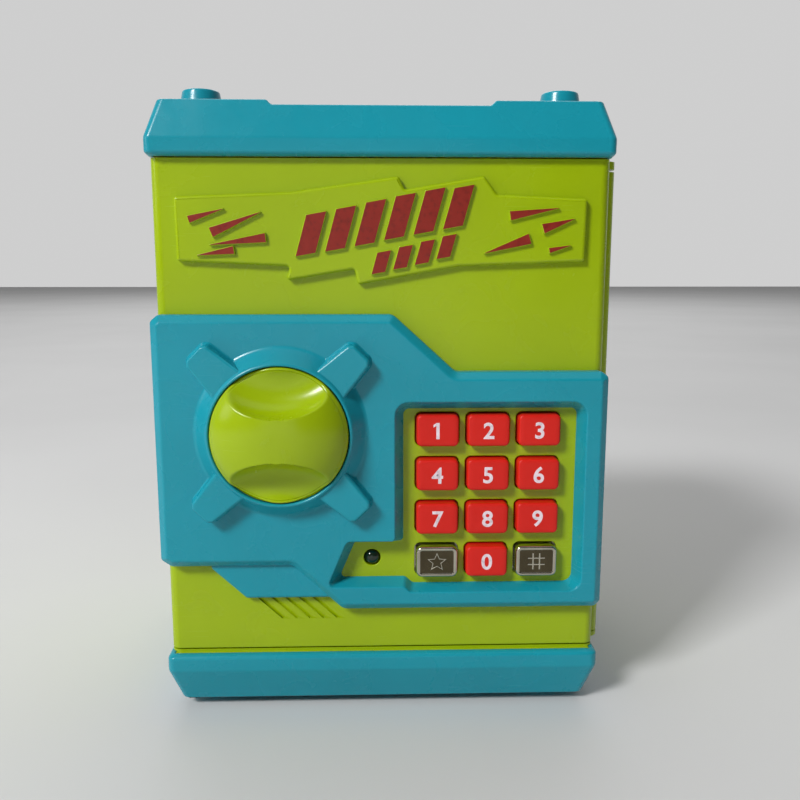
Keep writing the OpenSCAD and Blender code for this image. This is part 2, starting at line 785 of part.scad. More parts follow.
module battery_cover() {
    low = cover_screw[1] - 4.5;
    color(lime) difference() {
        front_slab(housing_d - cover_t + 0.05, housing_d) {
            bay_rect(cover_ledge - 0.2);
            rect(cover_screw[0] - 5, cover_screw[0] + 5, low, bay[2]);
        }
        rod_y(cover_screw[0], cover_screw[1], housing_d - cover_t - 1, housing_d + 1, 1.4);
        for (z = [120 : 3 : 132])
            box(bay[0] + 20, bay[1] - 20, housing_d - 0.6, housing_d + 1, z, z + 1.4);
    }
}

module battery_cover_screw() {
    color(steel) door_screw(cover_screw[0], cover_screw[1], housing_d, 2.6, 1.6, small_screw_r, 9);
}

module batteries() {
    mid = (bay[0] + bay[1]) / 2;
    color([0.2, 0.22, 0.25]) for (i = [0 : 2])
        translate([mid, 0, 0]) mirror([i % 2, 0, 0]) {
            rod_x(cell_rows[i], cell_d, -25, -25 + cell_l, cell_r);
            rod_x(cell_rows[i], cell_d, -26 + cell_l, -25 + cell_l + nub_l, 2.75);
        }
}

module battery_contacts() {
    mid = (bay[0] + bay[1]) / 2;
    reach = (bay[1] - bay[0]) / 2 - 0.1;
    color(steel) for (i = [0 : 2])
        translate([mid, 0, 0]) mirror([i % 2, 0, 0]) {
            box(-reach, -reach + 0.5, cell_d - 5, cell_d + 5, cell_rows[i] - 5, cell_rows[i] + 5);
            rod_x(cell_rows[i], cell_d, -reach + 0.4, -25.05, 4.4, 2.4);
            box(reach - 0.5, reach, cell_d - 5, cell_d + 5, cell_rows[i] - 5, cell_rows[i] + 5);
            rod_x(cell_rows[i], cell_d, -24.95 + cell_l + nub_l, reach - 0.4, 2.4, 3.4);
        }
}

module main_board() {
    color(board_green) difference() {
        front_slab(main_board_d, main_board_d + board_t)
            rect(main_board_box[0], main_board_box[1], main_board_box[2], main_board_box[3]);
        door_posts(main_board_screw_places, main_board_d - 1, main_board_d + board_t + 1, 1.4);
    }
}

module main_board_screws() {
    color(steel) for (p = main_board_screw_places)
        translate([p[0], face_y + main_board_d - 1.5, p[1]])
            rotate([-90, 0, 0]) screw(2.2, 1.5, small_screw_r, 6);
}

module board_components() {
    color([0.15, 0.15, 0.16]) {
        rod_y(14, 62, main_board_d - 1.6, main_board_d - 0.02, 8);
        box(30, 40, main_board_d - 2.4, main_board_d - 0.02, 58, 64);
        box(30, 46, main_board_d - 6, main_board_d - 0.02, 70, 75);
        for (x = [28, 36, 44]) rod_y(x, 49, main_board_d - 8, main_board_d - 0.02, 2.6);
    }
}

case_shell();
top_cap();
base();
cap_screws();
base_screws();
hinge_pin_upper();
hinge_pin_lower();
door_shell();
door_plate();
plate_screws();
inner_cover();
inner_cover_screws();
battery_cover();
battery_cover_screw();
batteries();
battery_contacts();
keypad_membrane();
keypad_board();
keypad_board_screws();
main_board();
board_components();
main_board_screws();
status_led();
speaker();
solenoid_frame();
solenoid_coil();
plunger_spring();
lock_plunger();
knob();
latch_arm();
knob_screw();
for (i = [0 : 11])
    key_cap(i);
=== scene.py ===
import math

import bmesh
import bpy
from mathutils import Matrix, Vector


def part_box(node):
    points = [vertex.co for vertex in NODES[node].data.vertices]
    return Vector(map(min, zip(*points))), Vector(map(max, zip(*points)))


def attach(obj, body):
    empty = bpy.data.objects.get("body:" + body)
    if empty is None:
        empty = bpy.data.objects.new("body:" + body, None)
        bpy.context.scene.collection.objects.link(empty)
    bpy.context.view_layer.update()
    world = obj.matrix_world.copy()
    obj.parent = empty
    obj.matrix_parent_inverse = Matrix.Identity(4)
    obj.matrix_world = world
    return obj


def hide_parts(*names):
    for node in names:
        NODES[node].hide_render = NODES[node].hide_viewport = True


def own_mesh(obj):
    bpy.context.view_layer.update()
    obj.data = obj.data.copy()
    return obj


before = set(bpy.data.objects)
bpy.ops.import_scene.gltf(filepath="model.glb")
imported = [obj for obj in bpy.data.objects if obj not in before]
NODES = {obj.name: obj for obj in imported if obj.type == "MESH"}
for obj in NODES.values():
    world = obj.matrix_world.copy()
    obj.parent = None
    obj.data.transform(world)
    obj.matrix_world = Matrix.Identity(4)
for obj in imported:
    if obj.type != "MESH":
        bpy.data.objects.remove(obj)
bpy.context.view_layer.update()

# Lengths are in millimetres until place() turns them into metres in the frame's axes.
MM = 0.001

# Door plate, collar and spokes
PLATE_T = 5.5
PLATE_SLOPE_W = 2.3
PLATE_SLOPE_T = 2
PLATE_CORNERS = [1.8, 1.8, 1.8, 1.8, 3.5, 3.5, 1.8, 1.8, 1.8, 2.4, 3.5, 3.5]
STEP_T = 2.6
COLLAR_R = 26.1
COLLAR_H = 5.3
SPOKE_H = 4.4
# Banner and louvres
BANNER_T = 2.2
MARK_T = 1
LOUVRE_PITCH = 4.4
LOUVRE_X = -32.8
LOUVRE_Z = 30.6
# Knob
CROWN_H = 8.4
SCOOP_R = 28.8
SCOOP_HALF_W = 9
SCOOP_DEPTH = 9.6
GRIP_HALF = 6.5
KNOB_WALL = 2
HUB_R = 5.94
HUB_SQUARE = 6
# Keys and the domes behind them
FLANGE = 1.1
KEY_CORNER = 1.6
INK_T = 0.06
DOME_R = 4.2
# Cap and base
TRAY_CORNER_R = 2.4
TRAY_EDGE_R = 0.55
SLOT_EDGE_R = 0.2
# Middle and half sizes of the area round the coin slot
SLOT_Y = 8.35
SLOT_AREA = (23, 6)


def low(name):
    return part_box(name)[0] / MM


def high(name):
    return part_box(name)[1] / MM


FACE_Y = high("door_plate").y
KNOB_X = (low("knob").x + high("knob").x) / 2
KNOB_Z = (low("knob").z + high("knob").z) / 2
KNOB_R = (high("knob").x - low("knob").x) / 2
COLLAR_FRONT = low("door_plate").y - FACE_Y

# Outlines seen from the front, as (x, z), anticlockwise
PLATE_OUTLINE = [
    (-67.7, 129.2), (-70.1, 127.2), (-70.1, 52.2), (-66.8, 50), (-28.7, 50), (-13, 35.3),
    (68, 35.3), (69.8, 37), (69.8, 110), (67.6, 111.6), (22.4, 111.6), (3.1, 129.2),
]
STEP_OUTLINE = [(-56.6, 50.5), (-43.8, 38.7), (-15, 38.7), (-24, 50.5)]
WINDOW_FLOOR = [
    (6.4, 99.8), (6.4, 56.8), (-9, 56.8), (-14.1, 44.8), (7, 44.8), (9.4, 42.6), (61, 42.6), (61, 99.8),
]
WINDOW_FRONT = [
    (3.7, 102.5), (3.7, 58.2), (-11.5, 58.2), (-17.8, 43.2), (6.6, 43.2), (8.7, 41.3), (63, 41.3),
    (63, 102.5),
]
WINDOW_FLOOR_CORNERS = [2, 1.2, 1.5, 1.2, 2, 2, 3, 2]
WINDOW_FRONT_CORNERS = [4.2, 1.2, 2, 1.5, 2, 2, 4, 4.5]
BANNER_OUTLINE = [
    (-61.8, 164), (-61.5, 145.1), (-27.8, 143.6), (-29.1, 139.3), (-8.4, 142.7), (-7.4, 138.1),
    (23, 143.6), (61.4, 145), (61.7, 163.6), (34.4, 164.8), (30.5, 170.1), (6.8, 166.1), (4.9, 170),
    (-27, 165.4),
]
SPOKE_ROOT = 21.8
SPOKE_OUTLINE = [(22.2, -5.9), (34, -4.3), (35.2, -3), (35.2, 3), (34, 4.3), (22.2, 5.9)]
SPOKE_CORNERS = [0.3, 1.6, 1.6, 1.6, 1.6, 0.3]


def place(x, depth, z):
    """Point at a depth behind the door's face."""
    return Vector((x, FACE_Y + depth, z)) * MM


# ---------------------------------------------------------------- outlines

def rounded(points, radii, steps=6):
    """Outline with its corners turned into arcs."""
    count = len(points)
    if not isinstance(radii, list):
        radii = [radii] * count
    made = []
    for i, radius in enumerate(radii):
        here = Vector(points[i])
        before = Vector(points[i - 1]) - here
        after = Vector(points[(i + 1) % count]) - here
        half = before.angle(after) / 2
        reach = min(radius / math.tan(half), 0.45 * before.length, 0.45 * after.length)
        to_centre = (before.normalized() + after.normalized()).normalized()
        centre = here + to_centre * reach / math.cos(half)
        start = here + before.normalized() * reach - centre
        end = here + after.normalized() * reach - centre
        first = math.atan2(start.y, start.x)
        turn = (math.atan2(end.y, end.x) - first + math.pi) % math.tau - math.pi
        for k in range(steps + 1):
            angle = first + turn * k / steps
            made.append(centre + Vector((math.cos(angle), math.sin(angle))) * start.length)
    return made


def inset(points, distance):
    """Anticlockwise outline moved inwards by a distance, or outwards where it is negative."""
    made = []
    for i, point in enumerate(points):
        before = (point - points[i - 1]).normalized()
        after = (points[(i + 1) % len(points)] - point).normalized()
        sides = Vector((-before.y - after.y, before.x + after.x))
        made.append(point + sides * distance / (1 + before.dot(after)))
    return made


def shrunk(points, radii, distance):
    """Outline with sharp corners moved inwards, then rounded: outer corners tighter, inner ones wider."""
    points = [Vector(point) for point in points]
    made = []
    for i, radius in enumerate(radii):
        before = points[i] - points[i - 1]
        after = points[(i + 1) % len(points)] - points[i]
        made.append(max(0.3, radius - distance) if before.cross(after) > 0 else radius + distance)
    return rounded(inset(points, distance), made)


def between(first, second, share):
    """Outline part of the way from one outline to another with as many points."""
    return [a.lerp(b, share) for a, b in zip(first, second)]


def circle(x, z, radius, steps=128):
    turns = [math.tau * k / steps for k in range(steps)]
    return [Vector((x + radius * math.cos(a), z + radius * math.sin(a))) for a in turns]


def rectangle(x, z, width, height):
    return [
        Vector((x - width / 2, z + height / 2)), Vector((x - width / 2, z - height / 2)),
        Vector((x + width / 2, z - height / 2)), Vector((x + width / 2, z + height / 2)),
    ]


def quarter(wall, front, steps=5):
    """(inset, depth) steps of a quarter round from a wall to a front face."""
    turns = [math.pi / 2 * k / steps for k in range(steps + 1)]
    return [
        (wall[0] + (front[0] - wall[0]) * (1 - math.cos(a)), wall[1] + (front[1] - wall[1]) * math.sin(a))
        for a in turns
    ]


def sloped(width, deep, front, soft, steps=4):
    """(inset, depth) steps of a flat slope up to a front face, with both its edges softened."""
    low_corner = Vector((0, front + deep))
    high_corner = Vector((width, front))
    along = (high_corner - low_corner).normalized() * soft
    made = []
    bends = ((low_corner, Vector((0, soft)), along), (high_corner, -along, Vector((soft, 0))))
    for corner, before, after in bends:
        for k in range(steps + 1):
            share = k / steps
            made.append(tuple(corner + before * (1 - share) ** 2 + after * share ** 2))
    return made


# ---------------------------------------------------------------- meshes

def add_ring(bm, outline, depth):
    return [bm.verts.new(place(x, depth, z)) for x, z in outline]


def bridge(bm, first, second):
    for i in range(len(first)):
        bm.faces.new((first[i - 1], first[i], second[i], second[i - 1]))


def loft(bm, outline, steps):
    """Rings at the (inset, depth) steps of an outline, joined by quads. Returns the end rings."""
    rings = [add_ring(bm, inset(outline, move), depth) for move, depth in steps]
    for first, second in zip(rings, rings[1:]):
        bridge(bm, first, second)
    return rings[0], rings[-1]


def fill(bm, *loops):
    """Flat face inside the first loop, with the other loops as its holes."""
    edges = []
    for loop in loops:
        for i in range(len(loop)):
            pair = (loop[i - 1], loop[i])
            edges.append(bm.edges.get(pair) or bm.edges.new(pair))
    bmesh.ops.triangle_fill(bm, edges=edges, use_beauty=True)


def block(bm, outline, steps):
    """Closed solid over the steps of one outline."""
    first, last = loft(bm, outline, steps)
    fill(bm, first)
    fill(bm, last)


def solid(outline, steps):
    bm = bmesh.new()
    block(bm, outline, steps)
    return bm


def finish_object(name, bm, sharp=40):
    bmesh.ops.recalc_face_normals(bm, faces=bm.faces)
    mesh = bpy.data.meshes.new(name)
    bm.to_mesh(mesh)
    bm.free()
    for polygon in mesh.polygons:
        polygon.use_smooth = True
    mesh.set_sharp_from_angle(angle=math.radians(sharp))
    obj = bpy.data.objects.new(name, mesh)
    bpy.context.scene.collection.objects.link(obj)
    return obj


def smooth_shading(obj):
    normals = obj.modifiers.new("normals", "WEIGHTED_NORMAL")
    normals.keep_sharp = True
    normals.weight = 60


def piece(name, bm, body, material, replaced=(), sharp=40):
    obj = finish_object(name, bm, sharp)
    obj.data.materials.append(material)
    smooth_shading(obj)
    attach(obj, body)
    if replaced:
        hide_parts(*replaced)
    return obj


def combine(name, base, added, cut=()):
    """One closed mesh: a solid with others joined to it and others cut away."""
    whole = finish_object(name + "_base", base)
    parts = []
    for operation, others in (("DIFFERENCE", cut), ("UNION", added)):
        for other in others:
            part = finish_object(name + "_part", other)
            join = whole.modifiers.new("join", "BOOLEAN")
            join.operation = operation
            join.solver = "MANIFOLD"
            join.object = part
            parts.append(part)
    bpy.context.view_layer.update()
    graph = bpy.context.evaluated_depsgraph_get()
    bm = bmesh.new()
    bm.from_object(whole, graph)
    for obj in [whole] + parts:
        bpy.data.objects.remove(obj)
    bmesh.ops.remove_doubles(bm, verts=bm.verts, dist=0.001 * MM)
    bmesh.ops.dissolve_limit(bm, angle_limit=math.radians(0.5), verts=bm.verts, edges=bm.edges)
    return bm


def bent_edges(bm, angle, passed):
    """Edges where the surface turns by more than an angle in degrees, and that pass a test."""
    return [
        e for e in bm.edges
        if e.is_manifold and e.calc_face_angle() > math.radians(angle) and passed(e)
    ]


def round_off(bm, edges, width, segments, miter="SHARP"):
    bmesh.ops.bevel(
        bm, geom=edges, offset=width * MM, offset_type="OFFSET", segments=segments, profile=0.5,
        affect="EDGES", clamp_overlap=False, miter_outer=miter,
    )


# ---------------------------------------------------------------- materials

def srgb(red, green, blue):
    """Linear colour from 0-255 screen values."""
    shares = [v / 255 for v in (red, green, blue)]
    return tuple(v / 12.92 if v <= 0.04045 else ((v + 0.055) / 1.055) ** 2.4 for v in shares) + (1,)


def shade(colour, factor):
    return tuple(min(1, v * factor) for v in colour[:3]) + (1,)


def blank(name):
    material = bpy.data.materials.new(name)
    material.use_nodes = True
    return material, material.node_tree, material.node_tree.nodes["Principled BSDF"]


def add(tree, kind, inputs=None, **settings):
    """New node; each input is a value or another node's output."""
    made = tree.nodes.new(kind)
    for key, value in settings.items():
        setattr(made, key, value)
    for key, value in (inputs or {}).items():
        if isinstance(value, bpy.types.NodeSocket):
            tree.links.new(value, made.inputs[key])
        else:
            made.inputs[key].default_value = value
    return made


def object_place(tree, scale=(1, 1, 1), turn=(0, 0, 0)):
    where = add(tree, "ShaderNodeTexCoord").outputs["Object"]
    return add(tree, "ShaderNodeMapping", {"Vector": where, "Scale": scale, "Rotation": turn}).outputs[0]


def noise(tree, where, scale, detail=2, distortion=0):
    inputs = {"Vector": where, "Scale": scale, "Detail": detail, "Distortion": distortion}
    return add(tree, "ShaderNodeTexNoise", inputs).outputs["Fac"]


def ramp(tree, factor, *stops):
    """Colour ramp with (position, colour) stops."""
    made = add(tree, "ShaderNodeValToRGB", {"Fac": factor})
    elements = made.color_ramp.elements
    while len(elements) < len(stops):
        elements.new(0.5)
    for element, (position, colour) in zip(elements, stops):
        element.position = position
        element.color = colour if len(colour) == 4 else colour + (1,)
    return made.outputs["Color"]


def span(tree, value, low_out, high_out, low_in=0.3, high_in=0.7):
    inputs = {"Value": value, "From Min": low_in, "From Max": high_in, "To Min": low_out, "To Max": high_out}
    return add(tree, "ShaderNodeMapRange", inputs).outputs["Result"]


def maths(tree, operation, first, second):
    return add(tree, "ShaderNodeMath", {0: first, 1: second}, operation=operation).outputs[0]


def mix(tree, factor, first, second):
    made = add(tree, "ShaderNodeMix", data_type="RGBA")
    for key, value in ((0, factor), (6, first), (7, second)):
        if isinstance(value, bpy.types.NodeSocket):
            tree.links.new(value, made.inputs[key])
        else:
            made.inputs[key].default_value = value
    return made.outputs[2]


def bump(tree, height, distance):
    inputs = {"Height": height, "Distance": distance * MM, "Strength": 1}
    return add(tree, "ShaderNodeBump", inputs).outputs["Normal"]


def scratches(tree, turn):
    """Sparse short hairlines along one direction."""
    lines = noise(tree, object_place(tree, (60, 90, 2600), turn), 1, 1)
    hair = span(tree, lines, 0, 1, 0.7, 0.74)
    patches = span(tree, noise(tree, object_place(tree), 48, 1), 0, 1, 0.58, 0.7)
    return maths(tree, "MULTIPLY", hair, patches)


def moulded(name, colour, roughness, peel=0.02, coat=0.0):
    """Injection-moulded plastic: pigment drift, orange peel, rubbed patches and hairline scratches."""
    material, tree, shader = blank(name)
    where = object_place(tree)
    cloud = noise(tree, where, 24, 4)
    base = ramp(tree, cloud, (0.3, shade(colour, 0.95)), (0.7, shade(colour, 1.05)))
    grain = noise(tree, where, 2400, 2)
    base = mix(tree, span(tree, grain, 0, 0.10), base, shade(colour, 0.8))
    hair = maths(tree, "MAXIMUM", scratches(tree, (0.3, 0.9, 0.2)), scratches(tree, (1.2, 0.1, 0.8)))
    base = mix(tree, maths(tree, "MULTIPLY", hair, 0.08), base, shade(colour, 1.4))
    tree.links.new(base, shader.inputs["Base Color"])
    rub = span(tree, noise(tree, where, 75, 5, 0.6), -0.035, 0.06)
    rough = maths(tree, "ADD", roughness, rub)
    rough = maths(tree, "ADD", rough, maths(tree, "MULTIPLY", hair, 0.15))
    tree.links.new(rough, shader.inputs["Roughness"])
    waves = noise(tree, where, 260, 2)
    height = maths(tree, "ADD", waves, maths(tree, "MULTIPLY", grain, 0.12))
    height = maths(tree, "SUBTRACT", height, maths(tree, "MULTIPLY", hair, 0.25))
    tree.links.new(bump(tree, height, peel), shader.inputs["Normal"])
    shader.inputs["Specular IOR Level"].default_value = 0.35
    shader.inputs["Coat Weight"].default_value = coat
    shader.inputs["Coat Roughness"].default_value = 0.12
    return material


def metal(name, colour, roughness, stretch=(1, 1, 1), depth=0.004):
    """Bare or plated metal with drawn or rubbed fine lines."""
    material, tree, shader = blank(name)
    lines = noise(tree, object_place(tree, stretch), 900, 3)
    cloud = noise(tree, object_place(tree), 160, 3)
    base = ramp(tree, cloud, (0.3, shade(colour, 0.86)), (0.7, shade(colour, 1.08)))
    tree.links.new(base, shader.inputs["Base Color"])
    rough = span(tree, lines, roughness * 0.75, roughness * 1.3)
    rough = maths(tree, "ADD", rough, span(tree, cloud, 0, 0.05))
    tree.links.new(rough, shader.inputs["Roughness"])
    tree.links.new(bump(tree, lines, depth), shader.inputs["Normal"])
    shader.inputs["Metallic"].default_value = 1
    return material


def printed(name, colour, roughness=0.5):
    """Pad-printed ink: uneven coverage and a slightly dry surface."""
    material, tree, shader = blank(name)
    where = object_place(tree)
    cover = noise(tree, where, 700, 4)
    base = ramp(tree, cover, (0.28, shade(colour, 0.72)), (0.45, colour), (0.75, shade(colour, 1.12)))
    tree.links.new(base, shader.inputs["Base Color"])
    tree.links.new(span(tree, cover, roughness - 0.08, roughness + 0.1), shader.inputs["Roughness"])
    tree.links.new(bump(tree, noise(tree, where, 1800, 2), 0.01), shader.inputs["Normal"])
    return material


def circuit_board(name):
    """Solder mask over copper tracks, with bare pads."""
    material, tree, shader = blank(name)
    where = object_place(tree)
    cells = add(tree, "ShaderNodeTexVoronoi", {"Vector": where, "Scale": 260}, distance="CHEBYCHEV")
    tracks = span(tree, cells.outputs["Distance"], 1, 0, 0.30, 0.34)
    base = mix(tree, tracks, srgb(16, 78, 38), srgb(34, 112, 58))
    dots = add(tree, "ShaderNodeTexVoronoi", {"Vector": where, "Scale": 330, "Randomness": 0.2})
    pads = span(tree, dots.outputs["Distance"], 1, 0, 0.13, 0.16)
    base = mix(tree, pads, base, srgb(196, 168, 96))
    tree.links.new(base, shader.inputs["Base Color"])
    tree.links.new(span(tree, noise(tree, where, 500, 3), 0.28, 0.42), shader.inputs["Roughness"])
    tree.links.new(bump(tree, maths(tree, "ADD", tracks, pads), 0.03), shader.inputs["Normal"])
    return material


def wound_coil(name):
    """Enamelled wire under amber tape."""
    material, tree, shader = blank(name)
    where = object_place(tree)
    inputs = {"Vector": where, "Scale": 900, "Distortion": 0.6}
    turns = add(tree, "ShaderNodeTexWave", inputs, bands_direction="X")
    base = ramp(tree, turns.outputs["Fac"], (0.1, srgb(110, 52, 18)), (0.8, srgb(205, 130, 62)))
    tree.links.new(base, shader.inputs["Base Color"])
    tree.links.new(span(tree, noise(tree, where, 600, 3), 0.3, 0.5), shader.inputs["Roughness"])
    tree.links.new(bump(tree, turns.outputs["Fac"], 0.08), shader.inputs["Normal"])
    return material


def cell_jacket(name):
    """Dark sleeve with a copper-coloured band, wrapped round each cell."""
    material, tree, shader = blank(name)
    where = object_place(tree)
    across = add(tree, "ShaderNodeSeparateXYZ", {"Vector": where}).outputs["X"]
    share = span(tree, across, 0, 1, 0, 0.05)
    edge = maths(tree, "ADD", share, span(tree, noise(tree, where, 900, 2), -0.004, 0.004))
    dark, band = srgb(38, 40, 44), srgb(176, 108, 58)
    base = ramp(tree, edge, (0.0, dark), (0.66, dark), (0.67, band), (0.9, band), (0.91, srgb(190, 190, 186)))
    tree.links.new(base, shader.inputs["Base Color"])
    tree.links.new(span(tree, noise(tree, where, 300, 4), 0.22, 0.36), shader.inputs["Roughness"])
    tree.links.new(bump(tree, noise(tree, where, 1500, 2), 0.01), shader.inputs["Normal"])
    shader.inputs["Metallic"].default_value = 0.3
    return material


LIME = moulded("lime_plastic", srgb(155, 180, 3), 0.24, coat=0.1)
TEAL = moulded("teal_plastic", srgb(20, 146, 164), 0.26, coat=0.1)
KEY_RED = moulded("key_red", srgb(214, 28, 16), 0.4, peel=0.03)
BLACK = moulded("black_plastic", srgb(30, 30, 32), 0.45)
SILICONE = moulded("silicone", srgb(150, 152, 156), 0.65, peel=0.05)
LENS = moulded("smoked_lens", srgb(14, 34, 20), 0.1, peel=0.004, coat=0.6)
STEEL = metal("plated_steel", srgb(200, 200, 196), 0.26, (1, 1, 9))
CHROME_RIM = metal("key_chrome_rim", srgb(190, 184, 168), 0.16, depth=0.002)
CHROME_FACE = metal("key_chrome_face", srgb(88, 80, 62), 0.2, depth=0.003)
BANNER_INK = printed("banner_paint", srgb(134, 26, 10), 0.38)
DIGIT_INK = printed("digit_print", srgb(234, 216, 224))
BOARD = circuit_board("circuit_board")
COIL = wound_coil("coil_tape")
CELL = cell_jacket("cell_jacket")


# ---------------------------------------------------------------- CAD parts that keep their shape

def soften(material, width, *names):
    """Gives CAD parts their material and the small edge radius that moulding or pressing leaves."""
    for name in names:
        obj = NODES[name]
        obj.data.materials.clear()
        obj.data.materials.append(material)
        weld = obj.modifiers.new("weld", "WELD")
        weld.merge_threshold = 0.002 * MM
        flat = obj.modifiers.new("flat", "DECIMATE")
        flat.decimate_type = "DISSOLVE"
        flat.angle_limit = math.radians(0.5)
        bevel = obj.modifiers.new("edges", "BEVEL")
        bevel.limit_method = "ANGLE"
        bevel.angle_limit = math.radians(32)
        bevel.width = width * MM
        bevel.segments = 2
        bevel.use_clamp_overlap = False
        bevel.miter_outer = "MITER_ARC"
        smooth_shading(obj)


soften(LIME, 0.12, "case_shell")
soften(LIME, 0.4, "inner_cover", "battery_cover")
soften(STEEL, 0.12, "cap_screws", "base_screws", "plate_screws", "inner_cover_screws", "battery_cover_screw")
soften(STEEL, 0.1, "keypad_board_screws", "main_board_screws", "knob_screw", "battery_contacts")
soften(STEEL, 0.2, "hinge_pin_upper", "hinge_pin_lower", "latch_arm", "lock_plunger", "solenoid_frame")
soften(BOARD, 0.1, "keypad_board", "main_board")
soften(BLACK, 0.2, "board_components", "speaker")
soften(COIL, 0.25, "solenoid_coil")
soften(CELL, 0.3, "batteries")
soften(LENS, 0.1, "status_led")
NODES["plunger_spring"].data.materials.clear()
NODES["plunger_spring"].data.materials.append(STEEL)


# ---------------------------------------------------------------- door plate

def collar(bm, bore_r):
    """Cone round the knob. Returns its outer ring on the plate and its inner ring on the door."""
    plate = -PLATE_T
    top = COLLAR_FRONT
    slope = (COLLAR_R - bore_r - 0.8) / COLLAR_H
    steps = [
        (COLLAR_R + 0.9, plate), (COLLAR_R + 0.4, plate - 0.1), (COLLAR_R, plate - 0.4),
        (COLLAR_R - slope * 0.8, plate - 0.8), (COLLAR_R - slope * (COLLAR_H - 0.7), top + 0.7),
        (bore_r + 1.05, top + 0.3), (bore_r + 0.75, top + 0.08), (bore_r + 0.5, top),
        (bore_r + 0.25, top + 0.08), (bore_r + 0.06, top + 0.3), (bore_r, top + 0.6), (bore_r, 0),
    ]
    rings = [add_ring(bm, circle(KNOB_X, KNOB_Z, radius), depth) for radius, depth in steps]
    for first, second in zip(rings, rings[1:]):
        bridge(bm, first, second)
    return rings[0], rings[-1]


def spoke(angle):
    """One tapered spoke on the collar's side. Its inner end stays inside the collar's cone."""
    turn = (math.cos(angle), math.sin(angle))
    foot = -PLATE_T
    top = foot - SPOKE_H
    steps = [(-0.9, foot + 0.4), (-0.9, foot - 0.05), (-0.55, foot - 0.35), (-0.4, foot - 0.9)]
    steps += quarter((-0.1, top + 1), (0.9, top), 6)
    bm = bmesh.new()
    rings = []
    for move, depth in steps:
        outline = shrunk(SPOKE_OUTLINE, SPOKE_CORNERS, move)
        ring = [(SPOKE_ROOT if x < SPOKE_ROOT + 2 else x, y) for x, y in outline]
        turned = [
            (KNOB_X + x * turn[0] - y * turn[1], KNOB_Z + x * turn[1] + y * turn[0]) for x, y in ring
        ]
        rings.append(add_ring(bm, turned, depth))
    for first, second in zip(rings, rings[1:]):
        bridge(bm, first, second)
    fill(bm, rings[0])
    fill(bm, rings[-1])
    return bm


def build_plate():
    bore_r = KNOB_R + 0.3
    bm = bmesh.new()
    steps = [(0, 0)] + sloped(PLATE_SLOPE_W, PLATE_SLOPE_T, -PLATE_T, 0.55)
    outer = [add_ring(bm, shrunk(PLATE_OUTLINE, PLATE_CORNERS, move), depth) for move, depth in steps]
    for first, second in zip(outer, outer[1:]):
        bridge(bm, first, second)
    floor = rounded(WINDOW_FLOOR, WINDOW_FLOOR_CORNERS)
    front = rounded(WINDOW_FRONT, WINDOW_FRONT_CORNERS)
    window = [
        add_ring(bm, inset(front, -0.45), -PLATE_T), add_ring(bm, inset(front, -0.15), -PLATE_T + 0.08),
        add_ring(bm, between(floor, front, 0.98), -PLATE_T + 0.3),
        add_ring(bm, between(floor, front, 0.9), -PLATE_T + 0.75), add_ring(bm, floor, 0),
    ]
    for first, second in zip(window, window[1:]):
        bridge(bm, first, second)
    collar_front, collar_back = collar(bm, bore_r)
    fill(bm, outer[-1], window[0], collar_front)
    fill(bm, outer[0], window[-1], collar_back)
    step = bmesh.new()
    block(step, rounded(STEP_OUTLINE, 1.2, 4), [(0, 0)] + quarter((0, -STEP_T + 0.9), (1.0, -STEP_T)))
    spokes = [spoke(math.radians(angle)) for angle in (45, 135, 225, 315)]
    whole = combine("plate", bm, [step] + spokes)
    piece("door_plate_moulding", whole, "door", TEAL, ["door_plate"], sharp=50)


# ---------------------------------------------------------------- knob

def knob_height(x, z):
    """Height of the knob's crown over the collar's front plane, scoops cut in."""
    share = min(1, math.hypot(x, z) / KNOB_R)
    height = CROWN_H * (1 - share ** 2.5) ** 0.74
    ring_r = SCOOP_R - SCOOP_HALF_W
    for side, softness in ((-1, 0.7), (1, 1.3)):
        across = abs(math.hypot(x, z - side * (GRIP_HALF + SCOOP_R)) - ring_r) / SCOOP_HALF_W
        if across < 1:
            scoop = CROWN_H - SCOOP_DEPTH * (1 - across ** 2.1) ** (1 / 2.1)
            overlap = max(0, softness - abs(height - scoop)) / softness
            height = min(height, scoop) - overlap ** 2 * softness / 4
    return height


